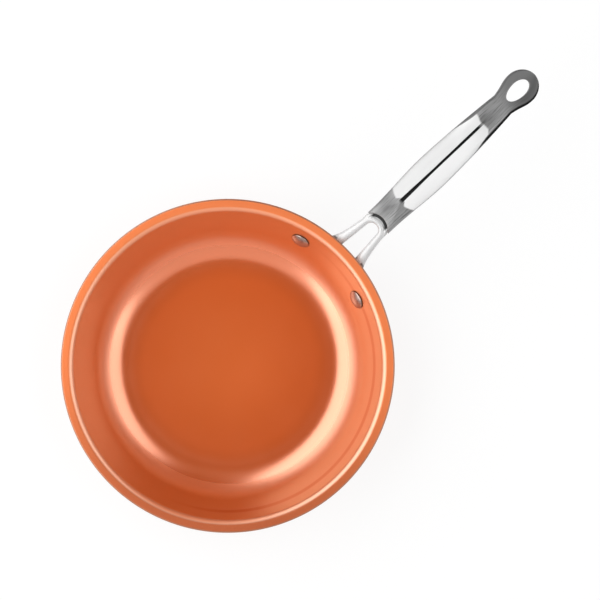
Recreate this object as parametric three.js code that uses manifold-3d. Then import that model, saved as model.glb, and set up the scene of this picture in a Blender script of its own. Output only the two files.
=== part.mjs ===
// Frying pan: a pressed aluminium body on a steel induction plate, and a hollow steel grip on a riveted fork.
// Millimetres and degrees, +Z up. The origin is the middle of the resting face. The handle points along +X.
import * as THREE from "three";
import { mergeVertices } from "three/addons/utils/BufferGeometryUtils.js";
import Module from "manifold-3d";

const wasm = await Module();
wasm.setup();

// Pan body, one sheet of aluminium
const RIM_DIAMETER = 240;
const PAN_HEIGHT = 44; // from the resting face to the top of the brim
const WALL_SPREAD = 46; // from the edge of the flat floor out to the rim
const BODY_SHEET = 2.6;
const CORNER_RADIUS = 28; // inside, where the floor turns up into the wall
const LIP_RADIUS = 7.6; // inside, where the wall turns out into the brim
const BRIM_WIDTH = 3.4; // level brim, out to the rim

// Induction plate, let into the underside
const PLATE_INSET = 9; // from the edge of the flat floor in to the plate
const PLATE_THICKNESS = 0.8;
const PLATE_PROUD = 0.3; // how far the plate stands below the aluminium
const PLATE_HOLE_DIAMETER = 5;
const PLATE_HOLE_PITCH = 11; // around each ring of holes, and from ring to ring
const PLATE_FIRST_RING = 24; // radius of the innermost ring
const PLATE_BORDER = 6; // least solid width outside the last ring

// Rivets, heads inside the pan
const RIVET_SPREAD = 59; // between the two heads
const RIVET_DROP = 14.5; // from the top of the brim down to the rivets
const RIVET_HEAD_DIAMETER = 12.5;
const RIVET_HEAD_HEIGHT = 2.3;
const RIVET_SHANK_DIAMETER = 5.5;
const RIVET_TAIL_DIAMETER = 9;
const RIVET_TAIL_HEIGHT = 1.8;

// Handle line: an arc that starts below the rim and flattens towards the tip.
// Every place along the handle is measured on this arc from the rim.
const HANDLE_RISE = 25; // slope at the rim
const HANDLE_ARCH_RADIUS = 480;
const HANDLE_DROP = 8.5; // from the top of the brim down to the handle line at the rim

// Fork, one forging: two feet, two legs joined in a U, and a shank inside the grip
const BEND_PLACE = 24.5; // centre of the U
const SLOT_WIDTH = 9.6; // between the legs
const LEG_WIDTH = 5.4;
const LEG_HEIGHT = 6.4;
const LEG_FLARE = 12; // how far the outer side of a leg spreads where it joins its foot
const LEG_SPLAY = 2.8; // how far the inner side spreads there
const LEG_DEEPENING = 1.6; // how much a leg grows up and down there
const FOOT_THICKNESS = 2.8;
const FOOT_RADIUS = 8; // round ends of each foot
const SHANK_LENGTH = 34; // from the centre of the U to the end of the shank
const SHANK_RISE = 2; // top of the shank above the handle line

// Grip, two pressed shells welded at their edges and closed into a flat loop at the tip
const GRIP_SHEET = 1.2;
const MOUTH_GAP = 2.4; // between the U of the fork and the curved mouth of the grip
const MOUTH_WIDTH = 21.1;
const MOUTH_CROWN = 5.8; // upper shell above the seam
const MOUTH_BELLY = 5.2; // lower shell below the seam
const MOUTH_TO_PALM = 48;
const PALM_WIDTH = 25.4;
const PALM_CROWN = 7.6;
const PALM_BELLY = 7.2;
const RIDGE_DROP = 3.6; // from the ridge down to the shoulders
const RIDGE_LEAD = 20; // stretch after the mouth where the flat top narrows to a ridge
const RIDGE_RUNOUT = 20; // stretch before the neck where the ridge opens out again
const FLAT_SHARE = 0.7; // part of the width that is flat at the mouth and at the neck
const GROOVE_LEAD = 18; // from the mouth to the groove along the ridge
const GROOVE_RUNOUT = 19; // from the groove to the neck
const GROOVE_START_WIDTH = 2.9;
const GROOVE_START_DEPTH = 0.6; // below the ridge
const GROOVE_END_WIDTH = 1.1;
const GROOVE_END_DEPTH = 0.3;
const PALM_TO_NECK = 70;
const NECK_WIDTH = 17.4;
const FLATTENING_LENGTH = 41; // stretch before the loop where the grip flattens
const CLOSING_LENGTH = 30; // stretch before the neck where the two sheets come together
const NECK_TO_LOOP = 16; // to the widest part of the loop
const LOOP_WIDTH = 24.6;
const LOOP_NECK_LENGTH = 17.4; // from the widest part of the loop back to where it leaves the neck
const LOOP_TIP_LENGTH = 13.5; // from there on to the tip
const LOOP_HALF_THICKNESS = 1.6;
const HOLE_LENGTH = 19.4;
const HOLE_WIDTH = 10.8;
const HOLE_BLUNT_LENGTH = 8.4; // from the widest part of the hole to its end near the tip
const HOLE_MARGIN = 6.6; // from the hole to the tip

const FIT_GAP = 0.3; // clearance between pieces that touch

// Characters of the curves
const TAPER_POWER = 1.6; // from palm to neck
const LOOP_BLEND_POWER = 4; // how tightly the neck turns into the loop
const UPPER_FULLNESS = 5; // squareness of the upper shell's shoulders
const LOWER_FULLNESS = 2.6; // roundness of the lower shell and of the shank
const LEG_FULLNESS = 2.4;
const FLARE_POWER = 3;
const SPLAY_POWER = 2;

// Fineness of the facets
const TURN_STEPS = 64;
const PROFILE_STEPS = 3; // every arc of the pan's profile has twice as many
const BORE_STEPS = 8;
const RIVET_STEPS = 20;
const DOME_STEPS = 5;
const OUTER_STEPS = 7; // across each half of a shell
const INNER_STEPS = 4;
const EDGE_CROWDING = 3; // how much those steps crowd towards the edges
const GRIP_STATIONS = 22;
const LOOP_STATIONS = 14;
const GROOVE_STATIONS = 12;
const TIP_BLUNTNESS = 0.4; // part of a station that the tip stops short
const LEG_STATIONS = 10;
const BEND_STATIONS = 10;
const LEG_SIDES = 12;
const SHANK_STATIONS = 6;
const MERGE_DISTANCE = 1e-4;
const CUT_REACH = 100; // longer than anything that a cutter goes through

const mix = THREE.MathUtils.lerp;
const clamp = THREE.MathUtils.clamp;
const ease = THREE.MathUtils.smoothstep;
const QUARTER = Math.PI / 2;
const X_AXIS = new THREE.Vector3(1, 0, 0);
const Y_AXIS = new THREE.Vector3(0, 1, 0);
const Z_AXIS = new THREE.Vector3(0, 0, 1);
const SIDES = { left: 1, right: -1 };

// A closed geometry as a solid for joining and cutting
function solidOf(geometry) {
  const bare = geometry.clone();
  bare.deleteAttribute("normal");
  bare.deleteAttribute("uv");
  const merged = mergeVertices(bare, MERGE_DISTANCE);
  const mesh = new wasm.Mesh({
    numProp: 3,
    vertProperties: merged.attributes.position.array,
    triVerts: new Uint32Array(merged.index.array),
  });
  return new wasm.Manifold(mesh);
}

function geometryOf(solid) {
  const mesh = solid.getMesh();
  const geometry = new THREE.BufferGeometry();
  geometry.setAttribute("position", new THREE.BufferAttribute(mesh.vertProperties, 3));
  geometry.setIndex(new THREE.BufferAttribute(mesh.triVerts, 1));
  geometry.computeVertexNormals();
  return geometry;
}

// A profile of points (radius, height) turned about the Z axis
function revolve(profile, steps) {
  return new THREE.LatheGeometry(profile, steps).rotateX(QUARTER);
}

// A round bar along Z, centred on the origin, for cutting holes
function roundBar(radius, steps) {
  return new THREE.CylinderGeometry(radius, radius, CUT_REACH, steps).rotateX(QUARTER);
}

// A skin over a row of sections, each an outline in its own frame, with a flat cap at both ends.
// An outline runs anticlockwise about its frame's third axis, which is the way the row goes.
function loft(sections) {
  const count = sections[0].outline.length;
  const positions = [];
  const faces = [];
  for (const { outline, frame } of sections) {
    for (const point of outline) {
      positions.push(...new THREE.Vector3(point.x, point.y, 0).applyMatrix4(frame));
    }
  }
  for (let row = 0; row < sections.length - 1; row++) {
    for (let side = 0; side < count; side++) {
      const a = row * count + side;
      const b = row * count + ((side + 1) % count);
      faces.push(a, b, b + count, a, b + count, a + count);
    }
  }
  const last = (sections.length - 1) * count;
  for (const [a, b, c] of THREE.ShapeUtils.triangulateShape(sections[0].outline, [])) {
    faces.push(a, c, b);
  }
  for (const [a, b, c] of THREE.ShapeUtils.triangulateShape(sections.at(-1).outline, [])) {
    faces.push(last + a, last + b, last + c);
  }
  const geometry = new THREE.BufferGeometry();
  geometry.setAttribute("position", new THREE.Float32BufferAttribute(positions, 3));
  geometry.setIndex(faces);
  return geometry;
}

// Pan profile: the floor corner and the lip are arcs, and the wall is the straight line that touches both.
const rimRadius = RIM_DIAMETER / 2;
const floorRadius = rimRadius - WALL_SPREAD;
const plateRadius = floorRadius - PLATE_INSET;
const floorLevel = PLATE_PROUD + BODY_SHEET;
const cornerCentre = new THREE.Vector2(floorRadius, floorLevel + CORNER_RADIUS);
const lipCentre = new THREE.Vector2(rimRadius - BRIM_WIDTH, PAN_HEIGHT - LIP_RADIUS);
const edgeCentre = new THREE.Vector2(rimRadius - BODY_SHEET / 2, PAN_HEIGHT - BODY_SHEET / 2);
const centreLine = lipCentre.clone().sub(cornerCentre);
const wallAngle = centreLine.angle() + Math.asin((CORNER_RADIUS + LIP_RADIUS) / centreLine.length());
const wallNormal = new THREE.Vector2(Math.sin(wallAngle), -Math.cos(wallAngle)); // points out of the pan

// Draws the outside of the pan, moved outwards by an offset: first from the underside up to the lip
function drawOuterWall(path, offset) {
  const { x, y } = cornerCentre;
  const depth = BODY_SHEET + offset;
  const lipRoot = wallNormal.clone().multiplyScalar(depth - LIP_RADIUS).add(lipCentre);
  path.absarc(x, y, CORNER_RADIUS + depth, -QUARTER, wallAngle - QUARTER);
  path.lineTo(lipRoot.x, lipRoot.y);
}

// then under the lip and round the edge of its brim
function drawOuterLip(path, offset) {
  const { x, y } = lipCentre;
  path.absarc(x, y, LIP_RADIUS - BODY_SHEET - offset, wallAngle + QUARTER, QUARTER, true);
  path.absarc(edgeCentre.x, edgeCentre.y, BODY_SHEET / 2 + offset, -QUARTER, QUARTER);
}

// Draws the inside of the pan from the brim down to the middle of the floor
function drawInside(path) {
  const { x, y } = cornerCentre;
  path.absarc(lipCentre.x, lipCentre.y, LIP_RADIUS, QUARTER, wallAngle + QUARTER);
  path.absarc(x, y, CORNER_RADIUS, wallAngle - QUARTER, -QUARTER, true);
  path.lineTo(0, floorLevel);
}

// The pan as a filled block grown by an offset, up to its brim or only up to the root of its lip
function grownPan(offset, withLip) {
  const path = new THREE.Path();
  path.moveTo(0, PLATE_PROUD - offset);
  path.lineTo(cornerCentre.x, PLATE_PROUD - offset);
  drawOuterWall(path, offset);
  if (withLip) {
    drawOuterLip(path, offset);
  }
  path.lineTo(0, path.currentPoint.y);
  return solidOf(revolve(path.getPoints(PROFILE_STEPS), TURN_STEPS));
}

// Place of each rivet: on the inside of the wall and square to it, one on each side of the handle
const wallFoot = wallNormal.clone().multiplyScalar(CORNER_RADIUS).add(cornerCentre);
const rivetLevel = PAN_HEIGHT - RIVET_DROP;
const rivetRadius = wallFoot.x + (rivetLevel - wallFoot.y) / Math.tan(wallAngle);
const rivetAngle = Math.asin(RIVET_SPREAD / 2 / rivetRadius);
const footFace = BODY_SHEET + FIT_GAP + FOOT_THICKNESS; // depth of a foot's outer face behind the inside wall

function rivetPlace(side) {
  const inward = new THREE.Vector3(-wallNormal.x, 0, -wallNormal.y);
  const place = new THREE.Object3D();
  place.position.set(rivetRadius, 0, rivetLevel);
  place.quaternion.setFromUnitVectors(Z_AXIS, inward);
  place.updateMatrix();
  return new THREE.Matrix4().makeRotationZ(side * rivetAngle).multiply(place.matrix);
}

// Cuts a clear hole for the shank of each rivet
function boreForRivets(solid) {
  const bore = roundBar(RIVET_SHANK_DIAMETER / 2 + FIT_GAP, RIVET_STEPS);
  return Object.values(SIDES).reduce(
    (rest, side) => rest.subtract(solidOf(bore.clone().applyMatrix4(rivetPlace(side)))),
    solid,
  );
}

// Pan body, with a recess below for the induction plate
function panBody() {
  const recessRadius = plateRadius + FIT_GAP;
  const recessLevel = PLATE_THICKNESS + FIT_GAP;
  const path = new THREE.Path();
  path.moveTo(0, recessLevel);
  path.lineTo(recessRadius, recessLevel);
  path.lineTo(recessRadius, PLATE_PROUD);
  drawOuterWall(path, 0);
  drawOuterLip(path, 0);
  drawInside(path);
  const pressed = solidOf(revolve(path.getPoints(PROFILE_STEPS), TURN_STEPS));
  const material = new THREE.MeshStandardMaterial({ color: 0xc8602f, roughness: 0.35, metalness: 0.4 });
  return new THREE.Mesh(geometryOf(boreForRivets(pressed)), material);
}

// Induction plate: a steel disc with rings of holes around a plain middle
function circle(radius, steps, x = 0, y = 0) {
  return Array.from({ length: steps }, (_, step) => {
    const angle = (step * 2 * Math.PI) / steps;
    return new THREE.Vector2(x + radius * Math.cos(angle), y + radius * Math.sin(angle));
  });
}

function inductionPlate() {
  const shape = new THREE.Shape(circle(plateRadius, TURN_STEPS));
  const lastRing = plateRadius - PLATE_BORDER - PLATE_HOLE_DIAMETER / 2;
  for (let ring = PLATE_FIRST_RING; ring <= lastRing; ring += PLATE_HOLE_PITCH) {
    const holes = Math.round((2 * Math.PI * ring) / PLATE_HOLE_PITCH);
    for (const { x, y } of circle(ring, holes)) {
      shape.holes.push(new THREE.Path(circle(PLATE_HOLE_DIAMETER / 2, BORE_STEPS, x, y)));
    }
  }
  const geometry = new THREE.ExtrudeGeometry(shape, { depth: PLATE_THICKNESS, bevelEnabled: false });
  const material = new THREE.MeshStandardMaterial({ color: 0xaeb0b2, roughness: 0.4, metalness: 1 });
  return new THREE.Mesh(geometry, material);
}

// Rivet: a domed head, a shank and a flatter tail, along Z with the inside of the wall at zero
function dome(radius, height, base) {
  const ball = (radius ** 2 + height ** 2) / (2 * height);
  const reach = 2 * Math.atan(height / radius);
  return Array.from({ length: DOME_STEPS + 1 }, (_, step) => {
    const angle = reach * (1 - step / DOME_STEPS);
    return new THREE.Vector2(ball * Math.sin(angle), base + height - ball * (1 - Math.cos(angle)));
  });
}

function rivet(side) {
  const shank = RIVET_SHANK_DIAMETER / 2;
  const tailLevel = footFace + FIT_GAP;
  const wallRise = ((RIVET_HEAD_DIAMETER / 2) ** 2 * wallNormal.x) / (2 * rivetRadius); // at the head's edge
  const headLevel = FIT_GAP + wallRise;
  const head = dome(RIVET_HEAD_DIAMETER / 2, RIVET_HEAD_HEIGHT, headLevel);
  const tail = dome(RIVET_TAIL_DIAMETER / 2, RIVET_TAIL_HEIGHT, tailLevel);
  const profile = [
    ...tail.reverse().map(({ x, y }) => new THREE.Vector2(x, -y)),
    new THREE.Vector2(shank, -tailLevel),
    new THREE.Vector2(shank, headLevel),
    ...head,
  ];
  const material = new THREE.MeshStandardMaterial({ color: 0xb9a79c, roughness: 0.25, metalness: 1 });
  const mesh = new THREE.Mesh(revolve(profile, RIVET_STEPS), material);
  mesh.applyMatrix4(rivetPlace(side));
  return mesh;
}

// Handle pieces are laid out straight, with X along the handle line, and then bent to the arc.
const handleSeat = new THREE.Vector3(rimRadius, 0, PAN_HEIGHT - HANDLE_DROP);
const riseAngle = THREE.MathUtils.degToRad(HANDLE_RISE);

function bendToHandleLine(geometry) {
  const points = geometry.attributes.position;
  for (let index = 0; index < points.count; index++) {
    const slope = riseAngle - points.getX(index) / HANDLE_ARCH_RADIUS;
    const radius = HANDLE_ARCH_RADIUS + points.getZ(index);
    const x = HANDLE_ARCH_RADIUS * Math.sin(riseAngle) - radius * Math.sin(slope);
    const z = radius * Math.cos(slope) - HANDLE_ARCH_RADIUS * Math.cos(riseAngle);
    points.setXYZ(index, x, points.getY(index), z);
  }
  geometry.computeVertexNormals();
  return geometry;
}

// Frame of a section at a point of the layout, for a row that goes along a level heading
function sectionFrame(x, y, heading) {
  const onward = new THREE.Vector3(Math.cos(heading), Math.sin(heading), 0);
  const across = new THREE.Vector3().crossVectors(Z_AXIS, onward);
  return new THREE.Matrix4().makeBasis(across, Z_AXIS, onward).setPosition(x, y, 0);
}

// Grip: sizes along the handle line
const bendRadius = SLOT_WIDTH / 2 + LEG_WIDTH; // outer side of the fork's U
const mouthRadius = bendRadius + MOUTH_GAP;
const mouthPlace = BEND_PLACE + mouthRadius;
const palmPlace = mouthPlace + MOUTH_TO_PALM;
const neckPlace = palmPlace + PALM_TO_NECK;
const loopCentre = neckPlace + NECK_TO_LOOP;
const loopStart = loopCentre - LOOP_NECK_LENGTH;
const tipPlace = loopCentre + LOOP_TIP_LENGTH;

// The loop is an egg with its blunt end at the tip
function loopLength(direction) {
  return direction < 0 ? LOOP_NECK_LENGTH : LOOP_TIP_LENGTH;
}

function gripHalfWidth(place) {
  const swelling = mix(MOUTH_WIDTH, PALM_WIDTH, ease(place, mouthPlace, palmPlace)) / 2;
  const taper = clamp((place - palmPlace) / (neckPlace - palmPlace), 0, 1) ** TAPER_POWER;
  const grip = mix(swelling, NECK_WIDTH / 2, taper) * (1 - ease(place, neckPlace, loopCentre));
  const reach = clamp((place - loopCentre) / loopLength(place - loopCentre), -1, 1);
  const loop = (LOOP_WIDTH / 2) * Math.sqrt(1 - reach ** 2);
  return (grip ** LOOP_BLEND_POWER + loop ** LOOP_BLEND_POWER) ** (1 / LOOP_BLEND_POWER);
}

function gripHalfHeight(place, atMouth, atPalm) {
  const swelling = mix(atMouth, atPalm, ease(place, mouthPlace, palmPlace));
  return mix(swelling, LOOP_HALF_THICKNESS, ease(place, loopStart - FLATTENING_LENGTH, loopStart));
}

function crownAt(place) {
  return gripHalfHeight(place, MOUTH_CROWN, PALM_CROWN);
}

function bellyAt(place) {
  return gripHalfHeight(place, MOUTH_BELLY, PALM_BELLY);
}

// Height that the upper shell has lost at a share of its half width, on its way from the ridge to a shoulder
function facetDrop(place, share) {
  const gathered = ease(place, mouthPlace, mouthPlace + RIDGE_LEAD);
  const opened = gathered * (1 - ease(place, neckPlace - RIDGE_RUNOUT, neckPlace));
  const standing = (crownAt(place) - LOOP_HALF_THICKNESS) / (PALM_CROWN - LOOP_HALF_THICKNESS);
  const flat = FLAT_SHARE * (1 - opened);
  return RIDGE_DROP * opened * standing * Math.max(0, (share - flat) / (1 - flat));
}

// Upper half of a rounded section, from its edge on the +Y side over the middle to the other edge
function halfSection(halfWidth, heightAt, fullness, steps) {
  const points = [];
  for (let step = -steps; step <= steps; step++) {
    const share = 1 - (1 - Math.abs(step) / steps) ** EDGE_CROWDING;
    const height = heightAt(share) * (1 - share ** fullness) ** (1 / fullness);
    points.push(new THREE.Vector2(-Math.sign(step) * share * halfWidth, height));
  }
  return points;
}

function innerHalfWidth(place) {
  const halfWidth = gripHalfWidth(place);
  return Math.max(halfWidth - GRIP_SHEET, halfWidth / 2);
}

// Height of the hollow under a sheet whose outer face is at a given height
function hollowHeight(place, outerHeight) {
  const closing = ease(place, neckPlace - CLOSING_LENGTH, neckPlace);
  return Math.max(0, outerHeight - GRIP_SHEET) * (1 - closing);
}

function shellOutline(place, heightAt, fullness) {
  const outer = halfSection(gripHalfWidth(place), heightAt, fullness, OUTER_STEPS);
  const hollow = (share) => hollowHeight(place, heightAt(share));
  const inner = halfSection(innerHalfWidth(place), hollow, fullness, INNER_STEPS);
  return [...outer, ...inner.reverse()].map(({ x, y }) => new THREE.Vector2(x, y + FIT_GAP / 2));
}

function upperOutline(place) {
  return shellOutline(place, (share) => crownAt(place) - facetDrop(place, share), UPPER_FULLNESS);
}

function lowerOutline(place) {
  const outline = shellOutline(place, () => bellyAt(place), LOWER_FULLNESS);
  return outline.reverse().map(({ x, y }) => new THREE.Vector2(x, -y));
}

// Places of the sections: even along the grip, then crowded towards both ends of the loop
function gripPlaces() {
  const places = [];
  for (let station = 0; station < GRIP_STATIONS; station++) {
    places.push(mix(BEND_PLACE, loopStart, station / GRIP_STATIONS));
  }
  for (let station = 0; station <= LOOP_STATIONS; station++) {
    const direction = -Math.cos((Math.PI * station) / (LOOP_STATIONS + TIP_BLUNTNESS));
    places.push(loopCentre + loopLength(direction) * direction);
  }
  return places;
}

// Groove: a shallow V pressed along the ridge, where its two sides meet the facets
function ridgeGroove() {
  const sections = [];
  for (let station = 0; station <= GROOVE_STATIONS; station++) {
    const share = station / GROOVE_STATIONS;
    const place = mix(mouthPlace + GROOVE_LEAD, neckPlace - GROOVE_RUNOUT, share);
    const width = mix(GROOVE_START_WIDTH, GROOVE_END_WIDTH, share);
    const depth = mix(GROOVE_START_DEPTH, GROOVE_END_DEPTH, share);
    const ridge = crownAt(place) + FIT_GAP / 2;
    const rise = depth - facetDrop(place, width / 2 / gripHalfWidth(place)); // from the bottom up to a facet
    const outline = [
      new THREE.Vector2(0, ridge - depth),
      new THREE.Vector2(width, ridge - depth + 2 * rise),
      new THREE.Vector2(width, ridge + depth),
      new THREE.Vector2(-width, ridge + depth),
      new THREE.Vector2(-width, ridge - depth + 2 * rise),
    ];
    sections.push({ outline, frame: sectionFrame(place, 0, 0) });
  }
  return loft(sections);
}

// Hanging hole: an egg with its blunt end towards the tip
function hangingHole() {
  const widest = tipPlace - HOLE_MARGIN - HOLE_BLUNT_LENGTH;
  const shape = new THREE.Shape();
  shape.absellipse(widest, 0, HOLE_BLUNT_LENGTH, HOLE_WIDTH / 2, -QUARTER, QUARTER);
  shape.absellipse(widest, 0, HOLE_LENGTH - HOLE_BLUNT_LENGTH, HOLE_WIDTH / 2, QUARTER, 3 * QUARTER);
  const settings = { depth: CUT_REACH, bevelEnabled: false, curveSegments: BORE_STEPS };
  return new THREE.ExtrudeGeometry(shape, settings).translate(0, 0, -CUT_REACH / 2);
}

// One shell of the grip: a skin of sections with the mouth, the hanging hole and any groove cut out
function gripShell(outlineAt, grooves) {
  const sections = gripPlaces().map((place) => ({
    outline: outlineAt(place),
    frame: sectionFrame(place, 0, 0),
  }));
  const mouth = roundBar(mouthRadius, TURN_STEPS).translate(BEND_PLACE, 0, 0);
  const cut = [mouth, hangingHole(), ...grooves].reduce(
    (rest, cutter) => rest.subtract(solidOf(cutter)),
    solidOf(loft(sections)),
  );
  const material = new THREE.MeshStandardMaterial({ color: 0xd2d4d6, roughness: 0.2, metalness: 1 });
  return new THREE.Mesh(bendToHandleLine(geometryOf(cut)), material);
}

// Fork: the legs and their U are one row of sections from the left foot to the right one
const footPlace = (rivetRadius + footFace / wallNormal.x - rimRadius) / Math.cos(riseAngle);
const rootPlace = footPlace - 2 * FOOT_RADIUS; // well inside the wall, where the leg is cut to fit

function legSection(place, side) {
  const nearness = clamp((BEND_PLACE - place) / (BEND_PLACE - footPlace), 0, 1);
  const innerSide = SLOT_WIDTH / 2 + LEG_SPLAY * nearness ** SPLAY_POWER;
  const outerSide = SLOT_WIDTH / 2 + LEG_WIDTH + LEG_FLARE * nearness ** FLARE_POWER;
  const halfHeight = LEG_HEIGHT / 2 + LEG_DEEPENING * nearness ** FLARE_POWER;
  const heading = side > 0 ? 0 : Math.PI;
  return {
    outline: roundedOutline((outerSide - innerSide) / 2, halfHeight),
    frame: sectionFrame(place, (side * (outerSide + innerSide)) / 2, heading),
  };
}

function roundedOutline(halfWidth, halfHeight) {
  return circle(1, LEG_SIDES).map(({ x, y }) => {
    const round = (value) => Math.sign(value) * Math.abs(value) ** (2 / LEG_FULLNESS);
    return new THREE.Vector2(round(x) * halfWidth, round(y) * halfHeight);
  });
}

function forkLegs() {
  const places = [];
  for (let station = 0; station < LEG_STATIONS; station++) {
    places.push(mix(rootPlace, BEND_PLACE, station / LEG_STATIONS));
  }
  const middle = (SLOT_WIDTH + LEG_WIDTH) / 2;
  const bend = [];
  for (let station = 0; station <= BEND_STATIONS; station++) {
    const heading = (-Math.PI * station) / BEND_STATIONS;
    const x = BEND_PLACE - middle * Math.sin(heading);
    const frame = sectionFrame(x, middle * Math.cos(heading), heading);
    bend.push({ outline: roundedOutline(LEG_WIDTH / 2, LEG_HEIGHT / 2), frame });
  }
  const leftLeg = places.map((place) => legSection(place, SIDES.left));
  const rightLeg = places.map((place) => legSection(place, SIDES.right)).reverse();
  return solidOf(loft([...leftLeg, ...bend, ...rightLeg]));
}

// Shank: lies in the hollow of the lower shell and starts inside the U
function forkShank() {
  const sections = [];
  for (let station = 0; station <= SHANK_STATIONS; station++) {
    const place = mix(BEND_PLACE, BEND_PLACE + SHANK_LENGTH, station / SHANK_STATIONS);
    const halfWidth = innerHalfWidth(place) - FIT_GAP;
    const depth = hollowHeight(place, bellyAt(place)) - FIT_GAP;
    const top = halfSection(halfWidth, () => SHANK_RISE, LOWER_FULLNESS, INNER_STEPS);
    const under = halfSection(halfWidth, () => depth, LOWER_FULLNESS, INNER_STEPS);
    const bottom = under.reverse().map(({ x, y }) => new THREE.Vector2(x, -y));
    sections.push({ outline: [...top, ...bottom.slice(1, -1)], frame: sectionFrame(place, 0, 0) });
  }
  const slot = roundBar((SLOT_WIDTH + LEG_WIDTH) / 2, TURN_STEPS).translate(BEND_PLACE, 0, 0);
  return solidOf(loft(sections)).subtract(solidOf(slot));
}

// Foot: a lug around its rivet, pressed to the outside of the wall
function forkFoot(side) {
  const { y, z } = new THREE.Vector3(0, 0, -footFace).applyMatrix4(rivetPlace(side));
  const innerEnd = SLOT_WIDTH / 2 + LEG_SPLAY + FOOT_RADIUS; // flush with the inner side of the leg
  const ends = [side * innerEnd, y];
  const shape = new THREE.Shape();
  shape.absarc(Math.max(...ends), z, FOOT_RADIUS, -QUARTER, QUARTER);
  shape.absarc(Math.min(...ends), z, FOOT_RADIUS, QUARTER, 3 * QUARTER);
  const settings = { depth: rimRadius, bevelEnabled: false, curveSegments: BORE_STEPS };
  const lug = new THREE.ExtrudeGeometry(shape, settings);
  return solidOf(lug.applyMatrix4(new THREE.Matrix4().makeBasis(Y_AXIS, Z_AXIS, X_AXIS)));
}

// Room around each rivet's tail
function tailRoom(side) {
  const room = roundBar(RIVET_TAIL_DIAMETER / 2 + FIT_GAP, RIVET_STEPS);
  room.translate(0, 0, -footFace - FIT_GAP / 2 - CUT_REACH / 2);
  return solidOf(room.applyMatrix4(rivetPlace(side)));
}

function handleFork() {
  const straight = geometryOf(forkLegs().add(forkShank()));
  const bent = bendToHandleLine(straight).translate(handleSeat.x, handleSeat.y, handleSeat.z);
  const feet = forkFoot(SIDES.left).add(forkFoot(SIDES.right));
  const lugs = feet.intersect(grownPan(FIT_GAP + FOOT_THICKNESS, false));
  const fitted = solidOf(bent).add(lugs).subtract(grownPan(FIT_GAP, true));
  const cleared = fitted.subtract(tailRoom(SIDES.left)).subtract(tailRoom(SIDES.right));
  const material = new THREE.MeshStandardMaterial({ color: 0xdcdee0, roughness: 0.15, metalness: 1 });
  return new THREE.Mesh(geometryOf(boreForRivets(cleared)), material);
}

// Assembly
const fryingPan = new THREE.Group();
const grip = new THREE.Group();
grip.position.copy(handleSeat);

function addPart(parent, name, mesh) {
  mesh.name = name;
  parent.add(mesh);
}

addPart(fryingPan, "pan_body", panBody());
addPart(fryingPan, "induction_plate", inductionPlate());
addPart(fryingPan, "handle_fork", handleFork());
for (const [name, side] of Object.entries(SIDES)) {
  addPart(fryingPan, `rivet_${name}`, rivet(side));
}
addPart(grip, "grip_upper_shell", gripShell(upperOutline, [ridgeGroove()]));
addPart(grip, "grip_lower_shell", gripShell(lowerOutline, []));
fryingPan.add(grip);

export default fryingPan;
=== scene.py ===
import math

import bpy
from mathutils import Euler, Matrix, Vector


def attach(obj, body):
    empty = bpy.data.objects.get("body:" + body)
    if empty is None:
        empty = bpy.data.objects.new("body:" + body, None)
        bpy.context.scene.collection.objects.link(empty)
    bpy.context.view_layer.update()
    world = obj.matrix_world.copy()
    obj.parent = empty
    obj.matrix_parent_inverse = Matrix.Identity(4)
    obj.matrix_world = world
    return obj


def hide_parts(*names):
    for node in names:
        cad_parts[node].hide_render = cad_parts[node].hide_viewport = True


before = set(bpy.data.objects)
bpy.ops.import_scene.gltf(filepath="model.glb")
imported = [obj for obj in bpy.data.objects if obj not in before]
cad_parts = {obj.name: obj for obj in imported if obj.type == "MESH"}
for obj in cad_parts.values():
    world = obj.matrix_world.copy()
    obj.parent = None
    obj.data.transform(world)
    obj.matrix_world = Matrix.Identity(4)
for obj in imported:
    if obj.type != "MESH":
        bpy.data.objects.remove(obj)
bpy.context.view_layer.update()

# Pan body
# A round of aluminium sheet, pressed to a shallow dish with a flared lip, and sprayed inside and out
# with a satin copper-coloured ceramic coating, which is thin and brown on the trimmed edge of the brim.
MM = 0.001
QUARTER = math.pi / 2
RIM_RADIUS = 120 * MM
PAN_HEIGHT = 44 * MM
FLOOR_RADIUS = 74 * MM
SHEET = 2.6 * MM
CORNER_RADIUS = 28 * MM
LIP_RADIUS = 5.2 * MM
BRIM_WIDTH = 4.88 * MM
EDGE_LEAD = 0.2 * MM
FLOOR_RINGS = (0.99, 0.97, 0.9, 0.6, 0.3, 0)
PLATE_PROUD = 0.3 * MM
RECESS_RADIUS = 65.3 * MM
RECESS_LEVEL = 1.1 * MM
FIT_GAP = 0.3 * MM
MERGE_DISTANCE = 0.001 * MM
TURN_STEPS = 192

floor_level = PLATE_PROUD + SHEET
corner_centre = Vector((FLOOR_RADIUS, floor_level + CORNER_RADIUS))
lip_centre = Vector((RIM_RADIUS - BRIM_WIDTH, PAN_HEIGHT - LIP_RADIUS))
edge_centre = Vector((RIM_RADIUS - SHEET / 2, PAN_HEIGHT - SHEET / 2))
centre_line = lip_centre - corner_centre
wall_angle = math.atan2(centre_line.y, centre_line.x)
wall_angle += math.asin((CORNER_RADIUS + LIP_RADIUS) / centre_line.length)
wall_normal = Vector((math.sin(wall_angle), -math.cos(wall_angle)))


def arc(centre, radius, start, end, steps):
    angles = [start + (end - start) * step / steps for step in range(steps + 1)]
    return [centre + radius * Vector((math.cos(angle), math.sin(angle))) for angle in angles]


def between(start, end, steps):
    return [start.lerp(end, step / steps) for step in range(1, steps)]


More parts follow.
